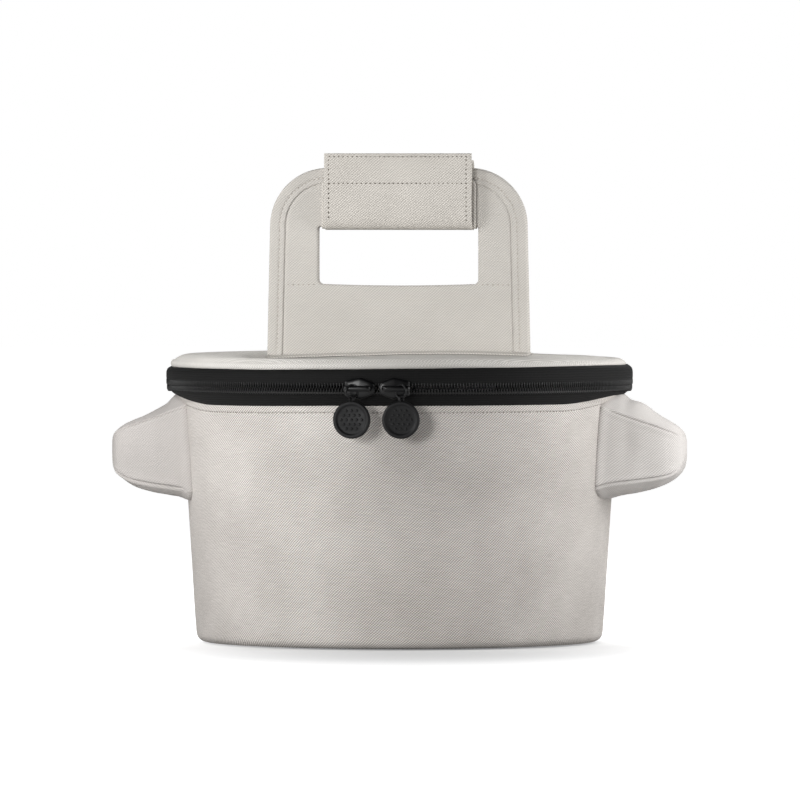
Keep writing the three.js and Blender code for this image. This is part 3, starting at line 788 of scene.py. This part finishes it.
# The hollow in the lid's front half as depths at places across it
HOLLOW_PLACES = [-100, -90, -60, 0, 70, 92, 110]
HOLLOW_DEPTHS = [0, 4.2, 3.6, 2.3, 0.7, 0.3, 0]
crown_line = smooth_line(LID_CROWN, 200)


def lid_top(angle, radius):
    """Height of the lid's crown: a shallow dome that rolls down at the shoulder, lower on the right, hollow
    in the front half and most at its left, fuller at the front edge, and a little uneven."""
    x, y = radius * np.sin(angle), -radius * np.cos(angle)
    shoulder = 1.4 * ramp(0.3, 1.0, np.sin(angle)) * bump(152, 10, radius)
    right = 2.2 * ramp(30, 105, x) * (1 - ramp(146, 156, radius))
    hollow = np.interp(x, HOLLOW_PLACES, HOLLOW_DEPTHS)
    hollow = hollow * (1 - ramp(0, 45, y)) * (1 - ramp(140, 157, radius))
    fuller = 1.3 * ramp(0.3, 0.8, np.cos(angle)) * bump(155.8, 2.6, radius)
    field = ramp(10, 60, radius) * (1 - ramp(135, 152, radius))
    soft = 0.35 * ripple(angle + 2.0, radius) * field
    return np.interp(radius, crown_line[:, 0], crown_line[:, 1]) - shoulder - right - hollow + fuller + soft


def on_lid(x, y):
    """Height of the lid's crown over a place in x and y."""
    return lid_top(np.arctan2(x, -y), np.hypot(x, y))


crown_radius = np.r_[np.linspace(0, 140, 50), np.linspace(142, LID_CROWN[-1][0], 16)][None, ::-1]
under_line = np.array(LID_UNDER)[None]
lid_lower = around(under_line[..., 0], lid_turn, under_line[..., 1])
lid_upper = around(crown_radius, lid_turn, lid_top(lid_turn, crown_radius))
lid_grid = np.concatenate([lid_lower, lid_upper], 1)
# The lid and its binding take the twill with painted light from above
lid = mesh_piece("lid_pad", grid_shape(lid_grid, True, uv=from_above(lid_grid)), top_lit_lid_canvas)
dress(lid, "lid", "lid_top_panel", "lid_foam")

binding_ring = circle(20)[None]
rightward = ramp(0.3, 1.0, np.sin(full_turn))
binding_radius = BINDING_RADIUS - 1.8 * rightward + 1.7 * np.cos(binding_ring)
binding_height = BINDING_Z + lid_lift(full_turn) - 2.0 * rightward + 2.5 * np.sin(binding_ring)
binding_grid = around(binding_radius, full_turn, binding_height)
binding = mesh_piece("lid_binding", grid_shape(binding_grid, True, True), top_lit_lid_canvas)
dress(binding, "lid", "lid_rim_binding")

under_radius = np.linspace(0, 156.8, 40)[None]
under_soft = 0.3 * ripple(flat_turn + 1.1, under_radius) * ramp(5, 40, under_radius)
under_height = LID_LINING_Z - under_soft + 0.7 * bump(140, 1.6, under_radius)
under = flat_cloth("lid_lining_cloth", under_radius, under_height, lining, LINING_THICK)
dress(under, "lid", "lid_lining", slot="lining")

# Carry panels: padded, hemmed all round, with a hand window
# Rings by their distance from the outer edge and from the window; the rings between are far from both
OUTER_STEPS = np.array([0, 0.2, 0.6, 1.1, 1.8, 3, 4.4, 5.8, 6.5, 7, 7.5, 8.2, 9.2,
                        10, 10.4, 10.7, 11.1, 11.6, 12.4, 14])
WINDOW_STEPS = np.array([7, 5.4, 4.4, 3.9, 3.5, 3.1, 2.4, 1.5, 0.8, 0.3, 0])
BETWEEN = 8
FAR = 30.0


def panel_ring(inset):
    """The panel's outline drawn in by an inset at the sides and top, and by a fifth of it at the foot."""
    half_low, half_high = PANEL_HALF
    low, high = PANEL_FOOT + 0.2 * inset, PANEL_TOP - inset
    return rounded_loop(half_low - inset, half_high - inset, low, high, 0.5, PANEL_CORNER - inset)


def window_ring(inset):
    """The hand window's outline let out by an inset, its lower edge bowed down in the middle."""
    half, low, high = HAND_WINDOW
    loop = rounded_loop(half + inset, half + inset, low - inset, high + inset, 3.2 + inset, 1.5 + inset)
    bow = 1.2 * np.clip(1 - (loop[:, 0] / half) ** 2, 0, 1) * (1 - ramp(low, low + 12, loop[:, 1]))
    return loop - np.stack([0 * bow, bow], 1)


def panel_lines():
    """Flat places in x and z: rings stepped in from the outer edge, even rings between, and rings stepped
    out from the window's edge; with each ring's distance from either edge."""
    rim = np.stack([panel_ring(step) for step in OUTER_STEPS], 1)
    mouth = np.stack([window_ring(step) for step in WINDOW_STEPS], 1)
    share = (np.arange(1, BETWEEN + 1) / (BETWEEN + 1))[None, :, None]
    between = rim[:, -1:] * (1 - share) + mouth[:, :1] * share
    from_edge = np.r_[OUTER_STEPS, np.full(BETWEEN + WINDOW_STEPS.size, FAR)]
    from_window = np.r_[np.full(OUTER_STEPS.size + BETWEEN, FAR), WINDOW_STEPS]
    return np.concatenate([rim, between, mouth], 1), from_edge, from_window


def panel_half_thickness(from_edge, from_window):
    """Half the panel's thickness: a padded field, a folded hem that stands above it, and rounded edges."""
    hem = 0.5 * (1 - ramp(HEM_EDGE - 0.35, HEM_EDGE + 0.25, from_edge))
    grooves = 0.45 * bump(HEM_STITCH, 0.55, from_edge) + 0.7 * bump(HEM_EDGE + 0.6, 0.45, from_edge)
    rolled = np.sqrt(1 - (1 - np.clip(np.minimum(from_edge, from_window) / 1.5, 0, 1)) ** 2)
    return rolled * (PANEL_HALF_THICK + hem - grooves)


def panel_bow(x, z):
    """How far the cloth bows towards the rear: one slow wave, none at the foot."""
    return 0.45 * np.sin(x / 34 + 0.8) * np.sin((z - PANEL_FOOT) / 41) * ramp(204, 240, z)


def panel_piece(name, facing):
    """One carry panel and its stitches: both faces of the flat places, set apart by the thickness. Stitches
    follow the hem up the sides and over the top, and run out from the window's low corners."""
    places, from_edge, from_window = panel_lines()
    x, z = places[..., 0] + PANEL_SHIFT, places[..., 1]
    half = panel_half_thickness(from_edge, from_window)[None]
    middle = facing * PANEL_MIDDLE + panel_bow(x, z)
    near = np.stack([x, middle - half, z], -1)
    rear = np.stack([x, middle + half, z], -1)[:, -2:0:-1]
    grid = np.concatenate([near, rear], 1)
    uv = np.pad(grid, ((0, 1), (0, 1), (0, 0)), mode="wrap")[..., [0, 2]]
    panel = mesh_piece(name, grid_shape(grid, True, True, uv=uv), tight_canvas)
    leg = np.linspace(HAND_WINDOW[0] + 1.5, PANEL_HALF[1] - HEM_EDGE - 0.5, 40)
    # The hem's row leaves out the foot and the two low corners of the ring
    lines = [(panel_ring(HEM_STITCH)[48:-8], HEM_LIFT)]
    for side in (-1, 1):
        lines.append((stacked(side * leg, HAND_WINDOW[1] - 0.6), PANEL_HALF_THICK))
    rows = []
    for line, lift in lines:
        depth = facing * PANEL_MIDDLE + panel_bow(line[:, 0], line[:, 1]) + facing * lift
        spots = np.stack([line[:, 0] + PANEL_SHIFT, depth, line[:, 1]], 1)
        rows.append(seam(spots[line[:, 1] > 203.0], [0.0, facing, 0.0]))
    return panel, mesh_piece(f"{name}_stitches", joined(*rows), pale_thread)


# Each station of a foot: distance from the middle, and height over the lid
FOOT_LINE = [[5.2, 1.6], [6.2, 0.9], [8.5, 0.7], [13, 0.75], [18.4, 0.7], [19.0, 0.1]]
foot_line = smooth_line(FOOT_LINE, 24)
foot_x = np.linspace(-FOOT_HALF, FOOT_HALF, 120)
foot_soft = 0.2 * np.sin(foot_x[None] / 9 + 1) * bump(13, 5, foot_line[:, :1])
for name, facing in (("front", -1), ("rear", 1)):
    panel, stitches = panel_piece(f"{name}_carry_panel", facing)
    nodes = [f"{name}_handle_{part}" for part in ("face", "core", "back")]
    bend(panel, ("lid", "carry_handle"), PANEL_BEND, *nodes)
    bend(stitches, ("lid", "carry_handle"), PANEL_BEND)
    foot_y = facing * foot_line[:, :1]
    foot_grid = stacked(foot_x[None], foot_y, on_lid(foot_x[None], foot_y) + foot_line[:, 1:] + foot_soft)
    foot_shape = grid_shape(foot_grid, flip=facing < 0)
    foot = mesh_piece(f"{name}_foot_cloth", foot_shape, tight_canvas, FOOT_THICK)
    dress(foot, "lid", f"{name}_foot_flange")
    rows = []
    for at in FOOT_STITCHES:
        rows.append(seam(stacked(foot_x, facing * at, on_lid(foot_x, facing * at) + 0.85), UP))
    dress(mesh_piece(f"{name}_foot_stitches", joined(*rows), thread), "lid")

# Grip: a pad round both bars and the wrap that closes over it, its line given as depth and height
WRAP_LINE = [
    [-12.9, 342.2], [-13.3, 338], [-13.5, 330], [-13.7, 318], [-13.8, 306], [-13.2, 298.5], [-11.2, 292.7],
    [-7.4, 289.3], [0, 288.6], [5.6, 289.0], [9.3, 292.0], [10.3, 298], [10.4, 312], [10.2, 326],
    [8.8, 333.8], [4.5, 337.0], [-1.5, 337.2], [-6.6, 335.6], [-8.9, 331.0], [-9.5, 322.0],
]
WRAP_ROWS = 150
FLAP_ROWS = 50
# Each strip of hook and loop: its lower and upper edge, its face and its back
LOOP_STRIP = (298.0, 320.0, -9.7, -8.7)
HOOK_STRIP = (322.0, 339.0, -11.4, -10.5)
# Ends of the flap's stitch rows in x and z
WRAP_SEAMS = [
    [[-49.5, 339.8], [49.5, 339.8]],
    [[-49.5, 321.2], [49.5, 321.2]],
    [[47.9, 339.0], [47.9, 294.0]],
    [[-48.6, 339.0], [-48.6, 296.0]],
]

pad_loop = rounded_loop(PAD_DEPTH, PAD_DEPTH, *PAD_Z, PAD_CORNER, PAD_CORNER, (10, 8, 30, 8))
pad_depth, pad_height = pad_loop[:, :1], pad_loop[:, 1:]
pad_x = np.linspace(-1, 1, 80)[None]
narrow = 3.4 * ramp(321.5, 324.0, pad_height)
pad_soft = 0.25 * np.sin(pad_x * 9 + pad_height / 12)
pad_grid = stacked(pad_x * (PAD_HALF - narrow), pad_depth + pad_soft, pad_height)
pad = mesh_piece("grip_pad", grid_shape(pad_grid, True), grip_canvas, PAD_THICK)
dress(pad, "carry_handle", "grip_sleeve")

wrap_line = smooth_line(WRAP_LINE, WRAP_ROWS)
wrap_row = np.arange(WRAP_ROWS)[:, None]
wrap_x = np.linspace(-WRAP_HALF, WRAP_HALF, 90)[None]
wrap_soft = 0.35 * np.sin(wrap_x / 17 + 1.0 + wrap_row / 21) + 0.2 * np.sin(wrap_x / 7.5 + wrap_row / 13)
wrap_grid = stacked(wrap_x, wrap_line[:, :1] + wrap_soft * 0.6, wrap_line[:, 1:])
wrap_travel = travel_along(wrap_line)[:, None]
wrap_shape = grid_shape(wrap_grid, uv=stacked(wrap_x, -wrap_travel))
wrap = mesh_piece("grip_wrap", wrap_shape, grip_canvas, WRAP_THICK)
bend(wrap, ("carry_handle", "wrap_flap"), WRAP_BEND, "grip_flap")

flap_depth, flap_height = wrap_line[:FLAP_ROWS][::-1].T
wrap_rows = []
for ends in WRAP_SEAMS:
    spots = smooth_line(ends, 120)
    front = np.interp(spots[:, 1], flap_height, flap_depth)
    wrap_rows.append(seam(np.stack([spots[:, 0], front - 0.12, spots[:, 1]], 1), [0.0, -1.0, 0.0]))
wrap_thread = mesh_piece("grip_wrap_stitches", joined(*wrap_rows), thread)
bend(wrap_thread, ("carry_handle", "wrap_flap"), WRAP_BEND)


def pile_patch(low, high, near, far):
    """A flat strip with a nubbly face: a closed box of rounded edge whose face follows crossed sines."""
    x = np.linspace(-1, 1, 140)[None]
    half_thick = (far - near) / 2
    middle_y, middle_z = (near + far) / 2, (low + high) / 2
    loop = rounded_loop(half_thick, half_thick, low, high, 0.4, 0.4, (3, 3, 30, 3))
    nub = 0.14 * np.sin(x * PATCH_HALF * 3.1) * np.sin(loop[:, 1:] * 3.3)
    ends = np.sqrt(1 - np.abs(x) ** 40)
    depth = middle_y + (loop[:, :1] + nub) * ends
    return stacked(x * PATCH_HALF, depth, middle_z + (loop[:, 1:] - middle_z) * ends)


loop_patch = mesh_piece("loop_patch", grid_shape(pile_patch(*LOOP_STRIP), True), loop_pile)
dress(loop_patch, "carry_handle", "loop_strip", slot="hook_and_loop")
hook_patch = mesh_piece("hook_patch", grid_shape(pile_patch(*HOOK_STRIP), True), hook_pile)
dress(hook_patch, "wrap_flap", "hook_strip", slot="hook_and_loop")


# Zip pulls: slider, bail, ring and disc
# Half of the slider's outline in length and height, from its nose to its tail
HALF_OUTLINE = np.array([[10.9, 0], [10.4, 1.9], [8.6, 4.3], [1.6, 7.2], [-1.0, 7.3],
                         [-8.6, 5.4], [-10.2, 4.6], [-10.4, 2.0]])
SLIDER_OUTLINE = np.vstack([HALF_OUTLINE, [[-10.4, 0]], HALF_OUTLINE[:0:-1] * [1, -1]])
# Each plate's profile as share of the outline and depth, and where its depth starts
OUTER_PLATE = [[0, 2.3], [0.35, 2.25], [0.7, 2.05], [0.86, 1.8], [0.95, 1.5], [1, 1.0], [1, 0.4],
               [0.96, 0.1], [0.9, 0], [0, 0]]
INNER_PLATE = [[0, 1.5], [0.6, 1.5], [0.72, 1.3], [0.75, 0.8], [0.72, 0.2], [0.68, 0], [0, 0]]
OUTER_PLATE_START = 164.6
INNER_PLATE_START = 158.2
# Bars of the slider in length and depth, and the half sizes of their sections
NECK_LINE = [[6.2, 159.5], [6.2, 162.0], [6.2, 165.2]]
NECK_HALF = (1.6, 0.8)
BAIL_LINE = [[-10.0, 166.2], [-9.9, 168.6], [-8.9, 170.3], [-6.6, 170.7], [-1.2, 170.8],
             [4.2, 170.7], [6.5, 170.3], [7.5, 168.6], [7.6, 166.2]]
BAIL_HALF = (1.3, 2.0)
# The front half of the disc's profile in radius and depth; the rear half mirrors it
DISC_FRONT = np.array([[0, 0.85], [6, 0.9], [9.6, 1.0], [10.3, 1.45], [11.2, 1.75],
                       [12.2, 1.65], [12.85, 1.1], [DISC_RADIUS, 0.4]])
PIP_STEPS = np.arange(-2, 3)
PIP_ACROSS = 3.6
PIP_DOWN = 3.1
PIP_FIELD = 7.4
PIP_OUT = 0.82


def plate_shape(start, profile, nose):
    """A plate of the slider: rings of its outline scaled to the profile's shares, each at the profile's
    depth outward from the start."""
    loop = smooth_line(np.vstack([SLIDER_OUTLINE, SLIDER_OUTLINE[:1]]), 72)[:-1]
    share, depth = np.array(profile).T[:, None]
    points = stacked(nose * loop[:, :1] * share, -(start + depth), CHAIN_Z + loop[:, 1:] * share)
    return grid_shape(points, True, flip=nose > 0)


def swept_bar(line, wide, tall, nose, flip):
    """A bar along a line in length and depth: ellipse sections square to the line, ends drawn in."""
    path = smooth_line(np.array(line) * [nose, 1], 60)
    along = np.gradient(path, axis=0)
    along /= np.linalg.norm(along, axis=1)[:, None]
    side = np.stack([-along[:, 1], along[:, 0]], 1)
    ring = circle(16)[None]
    full = np.sqrt(np.maximum(1 - np.abs(np.linspace(-1, 1, 60)) ** 30, 0))[:, None]
    off = wide * full * np.cos(ring)
    out = path[:, 1:] + side[:, 1:] * off
    points = np.stack([path[:, :1] + side[:, :1] * off, -out, CHAIN_Z + tall * full * np.sin(ring)], -1)
    return grid_shape(points, round_columns=True, flip=flip)


disc_line = smooth_line(np.vstack([DISC_FRONT, DISC_FRONT[::-1] * [1, -1]]), 70)[None]
disc_turn = circle(72)[:, None]
disc_reach, disc_depth = disc_line[..., 0], disc_line[..., 1]
disc_grid = stacked(disc_reach * np.sin(disc_turn), -disc_depth, disc_reach * np.cos(disc_turn))
pip_turn = circle(8)[:, None]
pip_slope = np.linspace(0, np.pi / 2, 4)[None]
pip_reach = np.cos(pip_slope)
pip_points = stacked(pip_reach * np.cos(pip_turn), pip_reach * np.sin(pip_turn), np.sin(pip_slope))
PIP = grid_shape(pip_points * PIP_HALF, True)
pip_row, pip_column = np.meshgrid(PIP_STEPS, PIP_STEPS, indexing="ij")
pips = stacked(PIP_ACROSS * (pip_column + pip_row / 2), 0.0, PIP_DOWN * pip_row).reshape(-1, 3)
pips = pips[np.hypot(pips[:, 0], pips[:, 2]) < PIP_FIELD]
hoop_turn = circle(48)[:, None]
wire_turn = circle(12)[None]
hoop_reach = RING_RADIUS + RING_WIRE * np.cos(wire_turn)
hoop_depth = RING_WIRE * np.sin(wire_turn)
hoop = stacked(hoop_reach * np.cos(hoop_turn), hoop_depth, hoop_reach * np.sin(hoop_turn))
eye_turn = circle(24)[:, None]
eye_reach = EYE_RADIUS + EYE_WIRE[0] * np.cos(wire_turn)
eye_across = EYE_WIRE[1] * np.sin(wire_turn)
eye = stacked(eye_across, eye_reach * np.cos(eye_turn), eye_reach * np.sin(eye_turn))

for name, side in (("left", -1), ("right", 1)):
    nose = -side
    turn = side * SLIDER_TURN
    points, faces, weave = joined(
        plate_shape(OUTER_PLATE_START, OUTER_PLATE, nose),
        plate_shape(INNER_PLATE_START, INNER_PLATE, nose),
        swept_bar(NECK_LINE, *NECK_HALF, nose, True),
        swept_bar(BAIL_LINE, *BAIL_HALF, nose, nose > 0),
    )
    slider = mesh_piece(f"{name}_slider_casting", (turned(points, turn), faces, weave), enamel, sharp=50)
    dress(slider, f"{name}_zip_slider", f"{name}_slider", f"{name}_slider_bail", slot="black_metal")

    hung = turned(hoop, nose * RING_TURN) + [-nose * RING_SHIFT, -BAIL_OUT, RING_Z]
    ring = mesh_piece(f"{name}_ring_wire", grid_shape(turned(hung, turn), True, True, flip=True), enamel)
    dress(ring, f"{name}_ring", f"{name}_pull_ring", slot="black_metal")

    eye_grid = turned(eye, nose * RING_TURN) + [0, 0, EYE_Z - DISC_Z]
    made = [grid_shape(disc_grid, True), grid_shape(eye_grid, True, True)]
    for face in (-1, 1):
        made.append(repeated(PIP, pips + [0, face * PIP_OUT, 0], [-face, 0, 0], UP, [0, face, 0]))
    points, faces, weave = joined(*made)
    points = turned(points + [-nose * RING_SHIFT, -BAIL_OUT, DISC_Z], turn)
    tag = mesh_piece(f"{name}_disc_tag", (points, faces, weave), rubber)
    dress(tag, f"{name}_disc", f"{name}_pull_disc", slot="pull_disc")

# Studio: white floor and surround, a key lamp in front, soft lights at both sides and a fill behind
FLOOR_HALF = 12000
FLOOR_Z = -0.05
FLOOR_LINES = 9
# The floor glows less in an oval under the bag, partly a painted shadow: there the lamps' own shadow shows,
# and the lower glow also greys the floor in front of the bag. Its half sizes in metres, and its shift in
# those halves
SHADE_HALF = (0.26, 0.4)
SHADE_SHIFT = (-0.12, 0.325, 0.0)
# The glow in the middle of the oval, and the square of the distance, in those halves, where it is full
SHADE_GLOW = 0.19
SHADE_EDGE = 0.8
# How strongly the surround lights the bag, against the white that the camera sees
SURROUND_LIGHT = 0.02
LIGHT_AIM_Z = 150
# Each lamp: name, degrees from the front, height and distance in millimetres, size in metres, watts
LAMPS = [
    ("front_key", -20, 500, 2500, (0.6, 0.6), 29.6),
    ("left_softbox", -50, 370, 580, (0.2, 0.4), 2.2),
    ("right_softbox", 72, 280, 500, (0.2, 0.3), 1.5),
    ("right_edge_light", 100, 320, 520, (0.2, 0.4), 0.8),
    ("rear_fill", 180, 1400, 1300, (1.0, 1.0), 20.0),
]
# The camera stands at the photograph's angle, far off with a long lens
CAMERA_TURN = np.radians(5.4)
CAMERA_DISTANCE = 9000.0
CAMERA_HEIGHT = 360.0
CAMERA_AIM = (0.3, 0, 169.6)
CAMERA_LENS = 579.0

ground, tree, output = empty_finish("matt_white_studio_floor")
path = add_node(tree, "LightPath")
rays = {0: (path, "Is Camera Ray"), 1: (path, "Is Glossy Ray")}
seen = add_node(tree, "Math", rays, operation="MAXIMUM")
shown = add_node(tree, "Math", {0: (seen, 0), 1: (path, "Is Transmission Ray")}, operation="MAXIMUM")
place = add_node(tree, "TexCoord")
shade = {"Location": SHADE_SHIFT, "Scale": (1 / SHADE_HALF[0], 1 / SHADE_HALF[1], 0.0)}
oval = add_node(tree, "Mapping", {"Vector": (place, "Object")}, shade)
away = add_node(tree, "VectorMath", {0: (oval, 0), 1: (oval, 0)}, operation="DOT_PRODUCT")
wash = add_node(tree, "MapRange", {0: (away, "Value")}, {"From Max": SHADE_EDGE, "To Min": SHADE_GLOW})
level = add_node(tree, "Math", {0: (shown, 0), 1: (wash, 0)}, operation="MULTIPLY")
glow = add_node(tree, "Emission", {"Strength": (level, 0)})
matt = add_node(tree, "BsdfDiffuse", values={"Color": linear("#bcbcbc")})
both = add_node(tree, "AddShader", {0: (glow, 0), 1: (matt, 0)})
tree.links.new(both.outputs[0], output.inputs[0])
floor_line = np.linspace(-FLOOR_HALF, FLOOR_HALF, FLOOR_LINES)
floor_points = stacked(floor_line[:, None], floor_line[None], FLOOR_Z)
mesh_piece("studio_floor", grid_shape(floor_points), ground)

world = bpy.data.worlds.new("studio_surround")
scene.world = world
world.use_nodes = True
tree = world.node_tree
tree.nodes.clear()
path = add_node(tree, "LightPath")
rays = {0: (path, "Is Camera Ray"), 1: (path, "Is Transmission Ray")}
seen = add_node(tree, "Math", rays, operation="MAXIMUM")
level = add_node(tree, "MapRange", {0: (seen, 0)}, {"To Min": SURROUND_LIGHT})
sky = add_node(tree, "Background", {"Strength": (level, 0)}, {"Color": linear("#ffffff")})
add_node(tree, "OutputWorld", {0: (sky, 0)})


def soft_light(name, turn, high, distance, size, power):
    """A rectangular lamp at an angle round the object, facing the middle of the bag."""
    lamp = bpy.data.lights.new(name, "AREA")
    lamp.shape = "RECTANGLE"
    lamp.size, lamp.size_y = size
    lamp.energy = power
    holder = bpy.data.objects.new(name, lamp)
    place = around(distance, np.radians(turn), high) * MM
    holder.location = place.tolist()
    back = Vector((place - np.array([0, 0, LIGHT_AIM_Z * MM])).tolist())
    holder.rotation_euler = back.to_track_quat("Z", "Y").to_euler()
    scene.collection.objects.link(holder)


for lamp in LAMPS:
    soft_light(*lamp)

camera_data = bpy.data.cameras.new("photo_camera")
camera_data.lens = CAMERA_LENS
camera_data.sensor_width = 36.0
camera_data.clip_end = 100.0
camera = bpy.data.objects.new("photo_camera", camera_data)
camera_place = around(CAMERA_DISTANCE, CAMERA_TURN, CAMERA_HEIGHT)
camera.location = (camera_place * MM).tolist()
sight = Vector(((np.array(CAMERA_AIM) - camera_place) * MM).tolist())
camera.rotation_euler = sight.to_track_quat("-Z", "Y").to_euler()
scene.collection.objects.link(camera)
scene.camera = camera
scene.view_settings.view_transform = "Standard"
